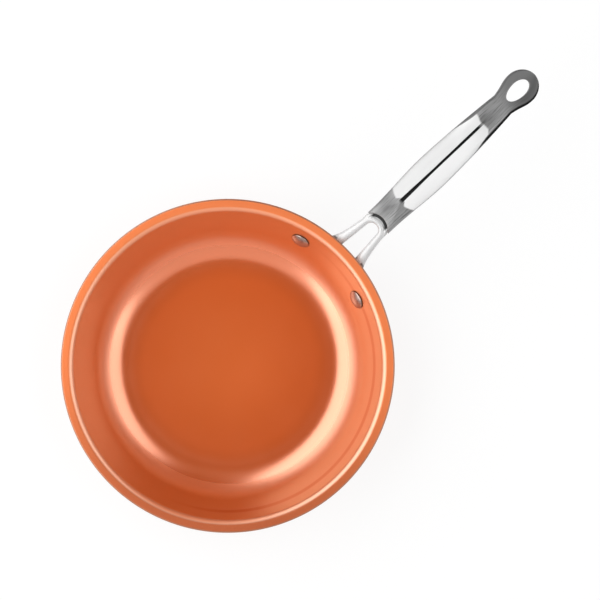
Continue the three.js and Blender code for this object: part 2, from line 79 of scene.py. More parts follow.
def outside_of_pan(offset, with_lip):
    depth = SHEET + offset
    corner = arc(corner_centre, CORNER_RADIUS + depth, -QUARTER, wall_angle - QUARTER, steps=28)
    lip_root = lip_centre + (depth - LIP_RADIUS) * wall_normal
    points = [*corner, *between(corner[-1], lip_root, steps=12)]
    if not with_lip:
        return [*points, lip_root]
    points += arc(lip_centre, LIP_RADIUS - depth, wall_angle + QUARTER, QUARTER, steps=16)
    return points + arc(edge_centre, SHEET / 2 + offset, -QUARTER, QUARTER, steps=14)


def inside_of_pan():
    lip = arc(lip_centre, LIP_RADIUS, QUARTER, wall_angle + QUARTER, steps=22)
    corner = arc(corner_centre, CORNER_RADIUS, wall_angle - QUARTER, -QUARTER, steps=32)
    floor = [Vector((share * FLOOR_RADIUS, floor_level)) for share in FLOOR_RINGS]
    brim_end = Vector((edge_centre.x - EDGE_LEAD, PAN_HEIGHT))
    return [brim_end, *lip, *between(lip[-1], corner[0], steps=12), *corner, *floor]


def start_alone(add, **settings):
    bpy.ops.object.select_all(action="DESELECT")
    add(**settings)
    return bpy.context.object


def turned(name, profile, steps):
    piece = start_alone(bpy.ops.mesh.primitive_plane_add, size=MM)
    piece.name = name
    bpy.ops.object.mode_set(mode="EDIT")
    bpy.ops.mesh.merge(type="CENTER")
    bpy.ops.transform.translate(value=(profile[0].x, 0, profile[0].y))
    for here, there in zip(profile, profile[1:]):
        step = there - here
        bpy.ops.mesh.extrude_vertices_move(TRANSFORM_OT_translate={"value": (step.x, 0, step.y)})
    bpy.ops.mesh.select_all(action="SELECT")
    bpy.ops.mesh.spin(steps=steps, angle=2 * math.pi, center=(0, 0, 0), axis=(0, 0, 1))
    bpy.ops.mesh.select_all(action="SELECT")
    bpy.ops.mesh.remove_doubles(threshold=MERGE_DISTANCE)
    bpy.ops.mesh.normals_make_consistent(inside=False)
    bpy.ops.object.mode_set(mode="OBJECT")
    return piece


def make_active(piece):
    bpy.ops.object.select_all(action="DESELECT")
    piece.select_set(True)
    bpy.context.view_layer.objects.active = piece


def combine(piece, other, operation):
    make_active(piece)
    boolean = piece.modifiers.new("combine", "BOOLEAN")
    boolean.operation = operation
    boolean.solver = "EXACT"
    boolean.object = other
    bpy.ops.object.modifier_apply(modifier=boolean.name)
    bpy.data.objects.remove(other)


def smooth(piece, degrees):
    make_active(piece)
    bpy.ops.object.shade_smooth_by_angle(angle=math.radians(degrees))


RIVET_LEVEL = 29.5 * MM
RIVET_HALF_SPREAD = 29.5 * MM
BORE_RADIUS = 3.05 * MM
CUTTER_LENGTH = 20 * MM

wall_foot = corner_centre + CORNER_RADIUS * wall_normal
rivet_radius = wall_foot.x + (RIVET_LEVEL - wall_foot.y) / math.tan(wall_angle)
rivet_angle = math.asin(RIVET_HALF_SPREAD / rivet_radius)


def rivet_place(side):
    lean = Euler((0, -math.atan2(wall_normal.x, -wall_normal.y), 0)).to_matrix().to_4x4()
    on_wall = Matrix.Translation((rivet_radius, 0, RIVET_LEVEL)) @ lean
    return Matrix.Rotation(side * rivet_angle, 4, "Z") @ on_wall


def put(piece, place):
    piece.matrix_world = place
    make_active(piece)
    bpy.ops.object.transform_apply(location=True, rotation=True, scale=True)


def bore(piece, side, radius):
    cutter = start_alone(bpy.ops.mesh.primitive_cylinder_add, vertices=48, radius=radius,
                         depth=CUTTER_LENGTH)
    put(cutter, rivet_place(side))
    combine(piece, cutter, "DIFFERENCE")


recess = [
    Vector((0, RECESS_LEVEL)),
    Vector((0.5 * RECESS_RADIUS, RECESS_LEVEL)),
    Vector((RECESS_RADIUS, RECESS_LEVEL)),
    Vector((RECESS_RADIUS, PLATE_PROUD)),
    Vector((0.98 * FLOOR_RADIUS, PLATE_PROUD)),
]
coated_pan = turned("coated_pan", [*recess, *outside_of_pan(0, True), *inside_of_pan()], TURN_STEPS)
for side in (1, -1):
    bore(coated_pan, side, BORE_RADIUS)

# Pips of the pan's own metal, pressed down into the holes of the base plate
PIP_RADIUS = 2.35 * MM
PIP_LEVEL = 0.06 * MM
PIP_ROUND = 0.4 * MM
HOLE_RINGS = {24 * MM: 14, 35 * MM: 20, 46 * MM: 26}

hole_places = [
    Vector((ring * math.cos(2 * math.pi * hole / count), ring * math.sin(2 * math.pi * hole / count), 0))
    for ring, count in HOLE_RINGS.items()
    for hole in range(count)
]
pip = start_alone(bpy.ops.mesh.primitive_cylinder_add, vertices=24, radius=PIP_RADIUS,
                  depth=RECESS_LEVEL - PIP_LEVEL, location=(0, 0, (RECESS_LEVEL + PIP_LEVEL) / 2))
bpy.ops.object.transform_apply(location=True, rotation=True, scale=True)
for edge in pip.data.edges:
    edge.select = all(pip.data.vertices[end].co.z < 2 * PIP_LEVEL for end in edge.vertices)
for face in pip.data.polygons:
    face.select = face.center.z < 2 * PIP_LEVEL
bpy.ops.object.mode_set(mode="EDIT")
bpy.ops.mesh.bevel(offset=PIP_ROUND, segments=3)
bpy.ops.object.mode_set(mode="OBJECT")


def copies(first, places):
    made = []
    for place in places:
        copy = first.copy()
        copy.data = first.data.copy()
        copy.data.transform(Matrix.Translation(place))
        bpy.context.collection.objects.link(copy)
        made.append(copy)
    bpy.data.objects.remove(first)
    return made


def join(first, others):
    make_active(first)
    for other in others:
        other.select_set(True)
    bpy.ops.object.join()


def new_material(name):
    material = bpy.data.materials.new(name)
    material.use_nodes = True
    return material, material.node_tree, material.node_tree.nodes["Principled BSDF"]


def feed(tree, socket, value):
    if isinstance(value, bpy.types.NodeSocket):
        tree.links.new(value, socket)
    else:
        socket.default_value = value


def add_node(tree, kind, settings=None, **inputs):
    made = tree.nodes.new(kind)
    for name, value in (settings or {}).items():
        setattr(made, name, value)
    for name, value in inputs.items():
        key = int(name[1:]) if name[1:].isdigit() else name.replace("_", " ")
        feed(tree, made.inputs[key], value)
    return made


def maths(tree, operation, *values):
    inputs = {f"i{number}": value for number, value in enumerate(values)}
    return add_node(tree, "ShaderNodeMath", {"operation": operation}, **inputs).outputs[0]


def stepped(tree, value, start, end, low=0.0, high=1.0):
    settings = {"interpolation_type": "SMOOTHSTEP"}
    inputs = {"i0": value, "i1": start, "i2": end, "i3": low, "i4": high}
    return add_node(tree, "ShaderNodeMapRange", settings, **inputs).outputs[0]


def object_place(tree):
    return add_node(tree, "ShaderNodeTexCoord").outputs["Object"]


def noise(tree, place, scale, detail=2.0):
    return add_node(tree, "ShaderNodeTexNoise", Vector=place, Scale=scale, Detail=detail).outputs["Fac"]


def blend(tree, share, one, other):
    settings = {"data_type": "RGBA"}
    return add_node(tree, "ShaderNodeMix", settings, i0=share, i6=one, i7=other).outputs[2]


def bump(tree, height, strength, distance):
    inputs = {"Strength": strength, "Distance": distance, "Height": height}
    return add_node(tree, "ShaderNodeBump", **inputs).outputs["Normal"]


def vector_value(tree, operation, *values):
    inputs = {f"i{number}": value for number, value in enumerate(values)}
    return add_node(tree, "ShaderNodeVectorMath", {"operation": operation}, **inputs).outputs["Value"]


def axis_distance(tree, place):
    across = add_node(tree, "ShaderNodeVectorMath", {"operation": "MULTIPLY"}, i0=place, i1=(1, 1, 0))
    return vector_value(tree, "LENGTH", across.outputs[0])


def grey(level):
    return (level, level, level, 1)


def finish(tree, shader, colour, roughness, relief):
    tree.links.new(colour, shader.inputs["Base Color"])
    tree.links.new(roughness, shader.inputs["Roughness"])
    tree.links.new(relief, shader.inputs["Normal"])


# Faint handling marks: slow, cloudy changes of gloss with fine speckle, shared by every metal surface here
SPECKLE_FINENESS = 14.0
CLOUD_WEIGHT = 1.4
SPECKLE_WEIGHT = 0.6
MEAN_LEVEL = 1.0
marks_group = bpy.data.node_groups.new("handling_marks", "ShaderNodeTree")
for name in ("Size", "Gloss", "Change"):
    marks_group.interface.new_socket(name, in_out="INPUT", socket_type="NodeSocketFloat")
marks_group.interface.new_socket("Roughness", in_out="OUTPUT", socket_type="NodeSocketFloat")
marks_in = marks_group.nodes.new("NodeGroupInput").outputs
marks_out = marks_group.nodes.new("NodeGroupOutput").inputs
marks_place = object_place(marks_group)
cloud = noise(marks_group, marks_place, marks_in["Size"], 3.0)
speckle_size = maths(marks_group, "MULTIPLY", marks_in["Size"], SPECKLE_FINENESS)
speckle = noise(marks_group, marks_place, speckle_size, 2.0)
weighted_cloud = maths(marks_group, "MULTIPLY", cloud, CLOUD_WEIGHT)
weighted_speckle = maths(marks_group, "MULTIPLY", speckle, SPECKLE_WEIGHT)
mixed = maths(marks_group, "ADD", weighted_cloud, weighted_speckle)
off_mean = maths(marks_group, "SUBTRACT", mixed, MEAN_LEVEL)
swing = maths(marks_group, "MULTIPLY", off_mean, marks_in["Change"])
marks_group.links.new(maths(marks_group, "ADD", swing, marks_in["Gloss"]), marks_out[0])


def handling_marks(tree, size, gloss, change):
    inputs = {"Size": size, "Gloss": gloss, "Change": change}
    return add_node(tree, "ShaderNodeGroup", {"node_tree": marks_group}, **inputs).outputs["Roughness"]


# Turned metal: fine rings around the axis of the pan
RING_HEIGHT = 0.02 * MM


def turned_rings(tree, scale, detail):
    inputs = {"W": axis_distance(tree, object_place(tree)), "Scale": scale, "Detail": detail}
    return add_node(tree, "ShaderNodeTexNoise", {"noise_dimensions": "1D"}, **inputs).outputs["Fac"]


aluminium, tree, shader = new_material("bare_aluminium")
rings = turned_rings(tree, 2600.0, 3.0)
finish(tree, shader, blend(tree, rings, (0.62, 0.61, 0.59, 1), (0.80, 0.79, 0.77, 1)),
       handling_marks(tree, 60.0, 0.36, 0.10), bump(tree, rings, 0.25, RING_HEIGHT))
shader.inputs["Metallic"].default_value = 1

# Ceramic coating: a deep copper orange with fine metal flakes and a warm gloss. Painted shade darkens the
# floor towards the wall and on one side, and darkens the walls, most on one side; painted light makes the
# lip lighter on one side, and a painted highlight colour lies on the lip's bend. The brim is satin and
# rich in flakes, a painted shade line runs round one side of the wall, a dark ring of stain and painted
# shadow rings each rivet, and the trimmed edge is brown.
BEAD_RADIUS = 105.7 * MM
BEND_RADIUS = 112.5 * MM
TRIMMED_EDGE = 118.85 * MM
EDGE_BLUR = 0.2 * MM
STAIN_SHADOW_RADIUS = 6.7 * MM
STAIN_SHADOW_BLUR = 0.9 * MM
# Directions towards which the painted light lies and away from which the painted shade lies
LIGHTER_SIDE = (0.72, 0.69, 0)
UNSHADED_SIDE = (-0.28, 0.96, 0)
FLOOR_MIDDLE_COATS = (0.90, 0.165, 0.030, 1), (0.97, 0.180, 0.034, 1)
FLOOR_EDGE_SHADE_COATS = (0.90, 0.148, 0.021, 1), (0.96, 0.162, 0.025, 1)
FLOOR_SIDE_SHADE = (0.62, 0.095, 0.012, 1)
SHADED_WALL_COATS = (0.41, 0.060, 0.005, 1), (0.60, 0.088, 0.007, 1)
FAR_WALL_SHADE = (0.40, 0.058, 0.005, 1)
LIP_SHADE_AND_LIGHT_COATS = (0.53, 0.092, 0.014, 1), (0.91, 0.208, 0.045, 1)
BEND_HIGHLIGHT_COAT = (0.90, 0.200, 0.055, 1)
BEAD_SHADE_COAT = (0.42, 0.060, 0.006, 1)
FLAKE = (0.95, 0.20, 0.03, 1)
RIVET_STAIN_AND_SHADOW = (0.12, 0.028, 0.010, 1)
EDGE_BROWN = (0.44, 0.120, 0.045, 1)
OUTER_COATS = (0.80, 0.245, 0.085, 1), (0.88, 0.285, 0.105, 1)
CERAMIC_IOR = 3.9
WARM_GLOSS = (1.0, 0.88, 0.70, 1)

coating, tree, shader = new_material("copper_ceramic")
place = object_place(tree)
drift = noise(tree, place, 16.0, 2.0)
flakes = noise(tree, place, 2400.0, 1.0)
from_axis = axis_distance(tree, place)
toward_lighter_side = vector_value(tree, "DOT_PRODUCT", place, LIGHTER_SIDE)
toward_unshaded_side = vector_value(tree, "DOT_PRODUCT", place, UNSHADED_SIDE)


def near_ring(tree, from_axis, radius, full, none, share=1.0):
    off_ring = maths(tree, "ABSOLUTE", maths(tree, "SUBTRACT", from_axis, radius))
    return stepped(tree, off_ring, full, none, share, 0.0)


# Painted shade: the floor grows darker towards the wall, and more so on one side
body = blend(tree, stepped(tree, from_axis, 10 * MM, FLOOR_RADIUS),
             blend(tree, drift, *FLOOR_MIDDLE_COATS), blend(tree, drift, *FLOOR_EDGE_SHADE_COATS))
floor_side_shade = maths(tree, "MULTIPLY", stepped(tree, toward_unshaded_side, -80 * MM, 80 * MM, 0.45, 0.0),
              stepped(tree, from_axis, 5 * MM, 60 * MM))
body = blend(tree, floor_side_shade, body, FLOOR_SIDE_SHADE)
# Painted shade: the walls are darker, most of all away from one side
shaded_wall_coat = blend(tree, stepped(tree, toward_lighter_side, -120 * MM, -20 * MM), *SHADED_WALL_COATS)
far_wall_shade = stepped(tree, toward_unshaded_side, -105 * MM, -25 * MM, 0.70, 0.0)
shaded_wall_coat = blend(tree, far_wall_shade, shaded_wall_coat, FAR_WALL_SHADE)
body = blend(tree, stepped(tree, from_axis, 88 * MM, 98 * MM), body, shaded_wall_coat)
# Painted light and shade: the lip is lighter towards one side and darker away from it
on_lip = stepped(tree, from_axis, 110.5 * MM, 113 * MM)
lip_lighter_side = stepped(tree, toward_lighter_side, -115 * MM, 15 * MM)
body = blend(tree, on_lip, body, blend(tree, lip_lighter_side, *LIP_SHADE_AND_LIGHT_COATS))
# Painted highlight: a lighter colour on the lip's bend, where the highlight ring lies
bend_highlight = near_ring(tree, from_axis, BEND_RADIUS, 0.5 * MM, 1.3 * MM, 0.7)
body = blend(tree, bend_highlight, body, BEND_HIGHLIGHT_COAT)
# Painted shade: a dark line round the wall below the lip, on one side only
bead_shade = maths(tree, "MULTIPLY", stepped(tree, toward_unshaded_side, -80 * MM, 10 * MM, 1.0, 0.0),
             near_ring(tree, from_axis, BEAD_RADIUS, 0.3 * MM, 1.4 * MM))
body = blend(tree, stepped(tree, bead_shade, 0.0, 1.0, 0.0, 0.45), body, BEAD_SHADE_COAT)
body = blend(tree, stepped(tree, flakes, 0.45, 0.75, 0.0, 0.12), body, FLAKE)
# A dark ring round each rivet head, partly stain and partly painted shadow
x_y_z = add_node(tree, "ShaderNodeSeparateXYZ", Vector=place).outputs
one_side = add_node(tree, "ShaderNodeCombineXYZ", i0=x_y_z[0], i1=maths(tree, "ABSOLUTE", x_y_z[1]),
                    i2=x_y_z[2]).outputs[0]
from_rivet = vector_value(tree, "DISTANCE", one_side, rivet_place(1).translation)
stain_and_shadow = stepped(tree, from_rivet, STAIN_SHADOW_RADIUS, STAIN_SHADOW_RADIUS + STAIN_SHADOW_BLUR, 1.0, 0.0)
body = blend(tree, stain_and_shadow, body, RIVET_STAIN_AND_SHADOW)
edge = stepped(tree, from_axis, TRIMMED_EDGE - EDGE_BLUR, TRIMMED_EDGE + EDGE_BLUR)
body = blend(tree, edge, body, EDGE_BROWN)
outside = add_node(tree, "ShaderNodeAttribute", {"attribute_name": "outside"}).outputs["Fac"]
body = blend(tree, outside, body, blend(tree, drift, *OUTER_COATS))
on_brim = stepped(tree, from_axis, 113 * MM, 114.9 * MM)
flake_share = stepped(tree, from_axis, 60 * MM, 78 * MM, 0.15, 0.30)
flake_share = stepped(tree, from_axis, 88 * MM, 97 * MM, flake_share, 0.05)
for zone, share in ((on_brim, 0.8), (bead_shade, 0.4), (edge, 0.6), (outside, 0.75)):
    flake_share = stepped(tree, zone, 0.0, 1.0, flake_share, share)
gloss = 0.15
for start, end, level in ((66, 77, 0.21), (77, 82, 0.24), (87, 89.5, 0.37), (92, 100, 0.34)):
    gloss = stepped(tree, from_axis, start * MM, end * MM, gloss, level)
for zone, level in ((on_lip, 0.40), (on_brim, 0.50)):
    gloss = stepped(tree, zone, 0.0, 1.0, gloss, level)
finish(tree, shader, body, handling_marks(tree, 35.0, gloss, 0.04),
       bump(tree, noise(tree, place, 700.0, 2.0), 0.03, 0.04 * MM))
tree.links.new(flake_share, shader.inputs["Metallic"])
shader.inputs["IOR"].default_value = CERAMIC_IOR
shader.inputs["Specular Tint"].default_value = WARM_GLOSS

pip.data.materials.append(aluminium)
coated_pan.data.materials.append(coating)
coated_pan.data.materials.append(aluminium)
for face in coated_pan.data.polygons:
    in_recess = face.center.z < 1.05 * RECESS_LEVEL and face.center.xy.length < RECESS_RADIUS
    face.material_index = int(in_recess)
outer_faces = coated_pan.data.attributes.new("outside", "FLOAT", "FACE")
for face in coated_pan.data.polygons:
    outer_faces.data[face.index].value = float(face.normal.z < 0)
join(coated_pan, copies(pip, hole_places))
smooth(coated_pan, 40)
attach(coated_pan, "root")
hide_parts("pan_body")

# Base plate
# A disc of magnetic stainless steel for induction hobs, let into the underside of the pan. The pan's metal
# is pressed down into its rings of holes and holds it, and its face is turned flat.
PLATE_RADIUS = 65 * MM
PLATE_THICKNESS = 0.8 * MM
PLATE_CHAMFER = 0.15 * MM
PLATE_HOLE_RADIUS = 2.5 * MM
DRILL_LENGTH = 6 * MM
DRILL_TURN = math.radians(3)

plate_profile = [
    Vector((0, 0)),
    Vector((PLATE_RADIUS - PLATE_CHAMFER, 0)),
    Vector((PLATE_RADIUS, PLATE_CHAMFER)),
    Vector((PLATE_RADIUS, PLATE_THICKNESS)),
    Vector((0, PLATE_THICKNESS)),
]
base_plate = turned("base_plate", plate_profile, TURN_STEPS)
drill = start_alone(bpy.ops.mesh.primitive_cylinder_add, vertices=32, radius=PLATE_HOLE_RADIUS,
                    depth=DRILL_LENGTH, rotation=(0, 0, DRILL_TURN))
bpy.ops.object.transform_apply(location=True, rotation=True, scale=True)
drills = copies(drill, hole_places)
join(drills[0], drills[1:])
combine(base_plate, drills[0], "DIFFERENCE")

turned_steel, tree, shader = new_material("turned_steel")
rings = turned_rings(tree, 1900.0, 4.0)
finish(tree, shader, blend(tree, rings, grey(0.48), grey(0.66)), handling_marks(tree, 50.0, 0.32, 0.10),
       bump(tree, rings, 0.3, RING_HEIGHT))
shader.inputs["Metallic"].default_value = 1
base_plate.data.materials.append(turned_steel)
smooth(base_plate, 30)
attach(base_plate, "root")
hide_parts("induction_plate")

# Fork
# A stainless steel forging, polished bright: two feet that fit the wall, two legs joined in a U, and
# a shank that runs into the grip, painted black as shadow where it shows in the grip's mouth.
HANDLE_RISE = math.radians(25)
ARCH_RADIUS = 480 * MM
SEAT_LEVEL = 35.5 * MM
BEND_PLACE = 24.5 * MM
SLOT_HALF_WIDTH = 4.8 * MM
LEG_WIDTH = 5.4 * MM
LEG_HALF_HEIGHT = 3.2 * MM
LEG_FLARE = 12 * MM
EARLY_FLARE = 0.45
LEG_SPLAY = 2.8 * MM
LEG_DEEPENING = 1.6 * MM
LEG_FULLNESS = 2.4
LEG_SIDES = 32
LEG_STEPS = 40
FOOT_THICKNESS = 2.8 * MM
FOOT_RADIUS = 8 * MM
TAIL_ROOM_RADIUS = 4.8 * MM
SHANK_LENGTH = 34 * MM
SHANK_STEPS = 23
SHANK_HALF_WIDTH = 9 * MM
SHANK_TOP = 2 * MM
SHANK_DEPTH = 3.6 * MM
SHOULDER_INNER_MM = 6.6
SHOULDER_OUTLINE_MM = ((0, 10.2), (5.5, 10.2), (6.5, 9.6), (7.5, 9.1), (10, 9))
SHOULDER_HEIGHT = 0.85 * LEG_HALF_HEIGHT
FORGE_VOXEL = 0.32 * MM
POLISH_PASSES = 14

foot_face = SHEET + FIT_GAP + FOOT_THICKNESS
foot_place = (rivet_radius + foot_face / wall_normal.x - RIM_RADIUS) / math.cos(HANDLE_RISE)
root_place = foot_place - 2 * FOOT_RADIUS
bend_middle = SLOT_HALF_WIDTH + LEG_WIDTH / 2


def on_handle_line(point):
    slope = HANDLE_RISE - point.x / ARCH_RADIUS
    radius = ARCH_RADIUS + point.z
    x = RIM_RADIUS + ARCH_RADIUS * math.sin(HANDLE_RISE) - radius * math.sin(slope)
    z = SEAT_LEVEL + radius * math.cos(slope) - ARCH_RADIUS * math.cos(HANDLE_RISE)
    return Vector((x, point.y, z))


def bend_to_handle(piece):
    for vertex in piece.data.vertices:
        vertex.co = on_handle_line(vertex.co)


def skin(name, rows):
    piece = start_alone(bpy.ops.mesh.primitive_grid_add,
                        x_subdivisions=len(rows[0]) - 1, y_subdivisions=len(rows) - 1)
    piece.name = name
    for vertex, point in zip(piece.data.vertices, (point for row in rows for point in row)):
        vertex.co = point
    return piece


def weld(piece):
    make_active(piece)
    bpy.ops.object.mode_set(mode="EDIT")
    bpy.ops.mesh.select_all(action="SELECT")
    bpy.ops.mesh.remove_doubles(threshold=MERGE_DISTANCE)
    bpy.ops.mesh.select_all(action="DESELECT")
    bpy.ops.mesh.select_non_manifold()
    bpy.ops.mesh.fill_holes(sides=0)
    bpy.ops.mesh.select_all(action="SELECT")
    bpy.ops.mesh.normals_make_consistent(inside=False)
    bpy.ops.object.mode_set(mode="OBJECT")


def rounded_ring(centre, heading, half_width, half_height):
    across = Vector((-math.sin(heading), math.cos(heading), 0))
    ring = []
    for side in range(LEG_SIDES + 1):
        angle = 2 * math.pi * (side % LEG_SIDES) / LEG_SIDES
        u = math.copysign(abs(math.cos(angle)) ** (2 / LEG_FULLNESS), math.cos(angle)) * half_width
        v = math.copysign(abs(math.sin(angle)) ** (2 / LEG_FULLNESS), math.sin(angle)) * half_height
        ring.append(centre + u * across + Vector((0, 0, v)))
    return ring


def leg_ring(place, side):
    nearness = min(max((BEND_PLACE - place) / (BEND_PLACE - foot_place), 0), 1)
    inner = SLOT_HALF_WIDTH + LEG_SPLAY * nearness
    flare = EARLY_FLARE * nearness + (1 - EARLY_FLARE) * nearness ** 4
    outer = SLOT_HALF_WIDTH + LEG_WIDTH + LEG_FLARE * flare
    half_height = LEG_HALF_HEIGHT + LEG_DEEPENING * nearness ** 3
    centre = Vector((place, side * (inner + outer) / 2, 0))
    return rounded_ring(centre, 0 if side > 0 else math.pi, (outer - inner) / 2, half_height)


leg_places = [root_place + (BEND_PLACE - root_place) * step / LEG_STEPS for step in range(LEG_STEPS)]
leg_rows = [leg_ring(place, 1) for place in leg_places]
for step in range(LEG_STEPS + 1):
    heading = -math.pi * step / LEG_STEPS
    centre = Vector((BEND_PLACE - bend_middle * math.sin(heading), bend_middle * math.cos(heading), 0))
    leg_rows.append(rounded_ring(centre, heading, LEG_WIDTH / 2, LEG_HALF_HEIGHT))
leg_rows += [leg_ring(place, -1) for place in reversed(leg_places)]
fork = skin("fork", leg_rows)
weld(fork)
bend_to_handle(fork)

shank_start = BEND_PLACE + bend_middle
shank_rows = []
for step in range(SHANK_STEPS + 1):
    place = shank_start + (BEND_PLACE + SHANK_LENGTH - shank_start) * step / SHANK_STEPS
    middle = Vector((place, 0, (SHANK_TOP - SHANK_DEPTH) / 2))
    shank_rows.append(rounded_ring(middle, 0, SHANK_HALF_WIDTH, (SHANK_TOP + SHANK_DEPTH) / 2))
shank = skin("shank", shank_rows)
weld(shank)
bend_to_handle(shank)


def shoulder(side):
    rows = []
    for ahead, outer in SHOULDER_OUTLINE_MM:
        middle = Vector((BEND_PLACE + ahead * MM, side * (SHOULDER_INNER_MM + outer) / 2 * MM, 0))
        rows.append(rounded_ring(middle, 0, (outer - SHOULDER_INNER_MM) / 2 * MM, SHOULDER_HEIGHT))
    piece = skin("shoulder", rows)
    weld(piece)
    bend_to_handle(piece)
    return piece


def grown_pan(offset, with_lip):
    outer = outside_of_pan(offset, with_lip)
    low = Vector((0, PLATE_PROUD - offset))
    return turned("grown_pan", [low, *outer, Vector((0, outer[-1].y))], TURN_STEPS)


def foot(side):
    middle = rivet_place(side) @ Vector((0, 0, -foot_face))
    inner_end = side * (SLOT_HALF_WIDTH + LEG_SPLAY + FOOT_RADIUS)
    lug = start_alone(bpy.ops.mesh.primitive_cylinder_add, vertices=64, radius=FOOT_RADIUS,
                      depth=RIM_RADIUS, rotation=(0, QUARTER, 0))
    bpy.ops.object.transform_apply(location=True, rotation=True, scale=True)
    for vertex in lug.data.vertices:
        sideways = inner_end if side * vertex.co.y < 0 else middle.y
        vertex.co += Vector((RIM_RADIUS / 2, sideways, middle.z))
    combine(lug, grown_pan(FIT_GAP + FOOT_THICKNESS, False), "INTERSECT")
    return lug


def tail_room(side):
    room = start_alone(bpy.ops.mesh.primitive_cylinder_add, vertices=48, radius=TAIL_ROOM_RADIUS,
                       depth=CUTTER_LENGTH,
                       location=(0, 0, -foot_face - FIT_GAP / 2 - CUTTER_LENGTH / 2))
    bpy.ops.object.transform_apply(location=True, rotation=True, scale=True)
    put(room, rivet_place(side))
    return room


feet = [foot(1), foot(-1)]
for piece in (fork, *feet):
    combine(piece, grown_pan(FIT_GAP, True), "DIFFERENCE")
for side, own_foot in zip((1, -1), feet):
    combine(fork, tail_room(side), "DIFFERENCE")
    combine(own_foot, tail_room(side), "DIFFERENCE")
join(fork, [shank, shoulder(1), shoulder(-1), *feet])
remesh = fork.modifiers.new("forge", "REMESH")
remesh.mode = "VOXEL"
remesh.voxel_size = FORGE_VOXEL
bpy.ops.object.modifier_apply(modifier=remesh.name)
polish = fork.modifiers.new("polish", "SMOOTH")
polish.factor = 0.5
polish.iterations = POLISH_PASSES
bpy.ops.object.modifier_apply(modifier=polish.name)
bpy.ops.object.shade_smooth()

# Bright polish on the legs and feet, painted shadow beside the legs under the lip, and black painted
# shadow on the shank beyond the U
U_REACH = 9.5 * MM
U_BLUR = 0.3 * MM
U_FORESHORTENING = 0.93
LEG_MIDDLE = 10.1 * MM
MOUTH_SHADOW_BLACK = grey(0.02)
UNDER_LIP_SHADOW = (0.16, 0.15, 0.14, 1)
MOUTH_SHADOW_ROUGHNESS = 0.6
bend_centre = on_handle_line(Vector((BEND_PLACE, 0, 0)))
bright_steel, tree, shader = new_material("bright_steel")
place = object_place(tree)
moved = add_node(tree, "ShaderNodeMapping", Vector=place,
                 Location=(-bend_centre.x / U_FORESHORTENING, 0, 0), Scale=(1 / U_FORESHORTENING, 1, 0))
reach = vector_value(tree, "LENGTH", moved.outputs[0])
x_y_z = add_node(tree, "ShaderNodeSeparateXYZ", Vector=place).outputs
sideways = maths(tree, "ABSOLUTE", x_y_z[1])
# Painted shadow: black on the shank where it shows beyond the U in the grip's mouth
ahead = maths(tree, "MULTIPLY", stepped(tree, x_y_z[0], bend_centre.x + 2.5 * MM, bend_centre.x + 6 * MM),
              stepped(tree, sideways, 6.4 * MM, 8.2 * MM, 1.0, 0.0))
beyond = maths(tree, "MULTIPLY", ahead, stepped(tree, reach, U_REACH - U_BLUR, U_REACH + U_BLUR))
grain = noise(tree, place, 420.0, 3.0)
from_axis = axis_distance(tree, place)
# Painted shadow: dark marks beside the legs where they pass under the lip
under_lip = stepped(tree, from_axis, RIM_RADIUS + 0.8 * MM, RIM_RADIUS + 2.2 * MM, 1.0, 0.0)
off_leg = maths(tree, "ABSOLUTE", maths(tree, "SUBTRACT", sideways, LEG_MIDDLE))
under_lip_shade = maths(tree, "MULTIPLY", under_lip, stepped(tree, off_leg, 1.6 * MM, 3.0 * MM))
bright = blend(tree, under_lip_shade, blend(tree, grain, grey(0.61), grey(0.68)), UNDER_LIP_SHADOW)
polished = handling_marks(tree, 90.0, 0.36, 0.08)
finish(tree, shader, blend(tree, beyond, bright, MOUTH_SHADOW_BLACK),
       stepped(tree, beyond, 0.0, 1.0, polished, MOUTH_SHADOW_ROUGHNESS), bump(tree, grain, 0.06, 0.03 * MM))
shader.inputs["Metallic"].default_value = 0.2
fork.data.materials.clear()
fork.data.materials.append(bright_steel)
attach(fork, "root")
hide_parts("handle_fork")

# Rivets
# Solid stainless steel rivets with low domed heads inside the pan. Their tails are set over the feet of
# the fork from outside, which clamps the wall between foot and head.
HEAD_RADIUS = 6.75 * MM
HEAD_HEIGHT = 2.3 * MM
SHANK_RADIUS = 2.75 * MM
TAIL_RADIUS = 4.5 * MM
TAIL_HEIGHT = 1.8 * MM
EDGE_ROUND = 0.35 * MM
EDGE_SWEEP = math.radians(55)
DOME_POWER = 2.2
DOME_RINGS = (0.95, 0.9, 0.82, 0.74, 0.66, 0.56, 0.46, 0.36, 0.26, 0.16, 0.08, 0)
RIVET_STEPS = 48

wall_rise = HEAD_RADIUS ** 2 * wall_normal.x / (2 * rivet_radius)
head_level = FIT_GAP + wall_rise
tail_level = foot_face + FIT_GAP


def domed(radius, height, base):
    rim_centre = Vector((radius - EDGE_ROUND, base + EDGE_ROUND))
    rim = arc(rim_centre, EDGE_ROUND, -QUARTER, EDGE_SWEEP, steps=8)
    rise = base + height - rim[-1].y
    dome = [
        Vector((share * rim[-1].x, rim[-1].y + rise * (1 - share ** DOME_POWER)))
        for share in DOME_RINGS
    ]
    return [*rim, *dome]


rivet_steel, tree, shader = new_material("rivet_steel")
grain = noise(tree, object_place(tree), 900.0, 3.0)
# The pinkish-brown tint of the steel is a painted reflection of the copper coating
finish(tree, shader, blend(tree, grain, (0.42, 0.31, 0.28, 1), (0.56, 0.44, 0.40, 1)),
       handling_marks(tree, 160.0, 0.32, 0.08), bump(tree, grain, 0.08, 0.03 * MM))
shader.inputs["Metallic"].default_value = 1

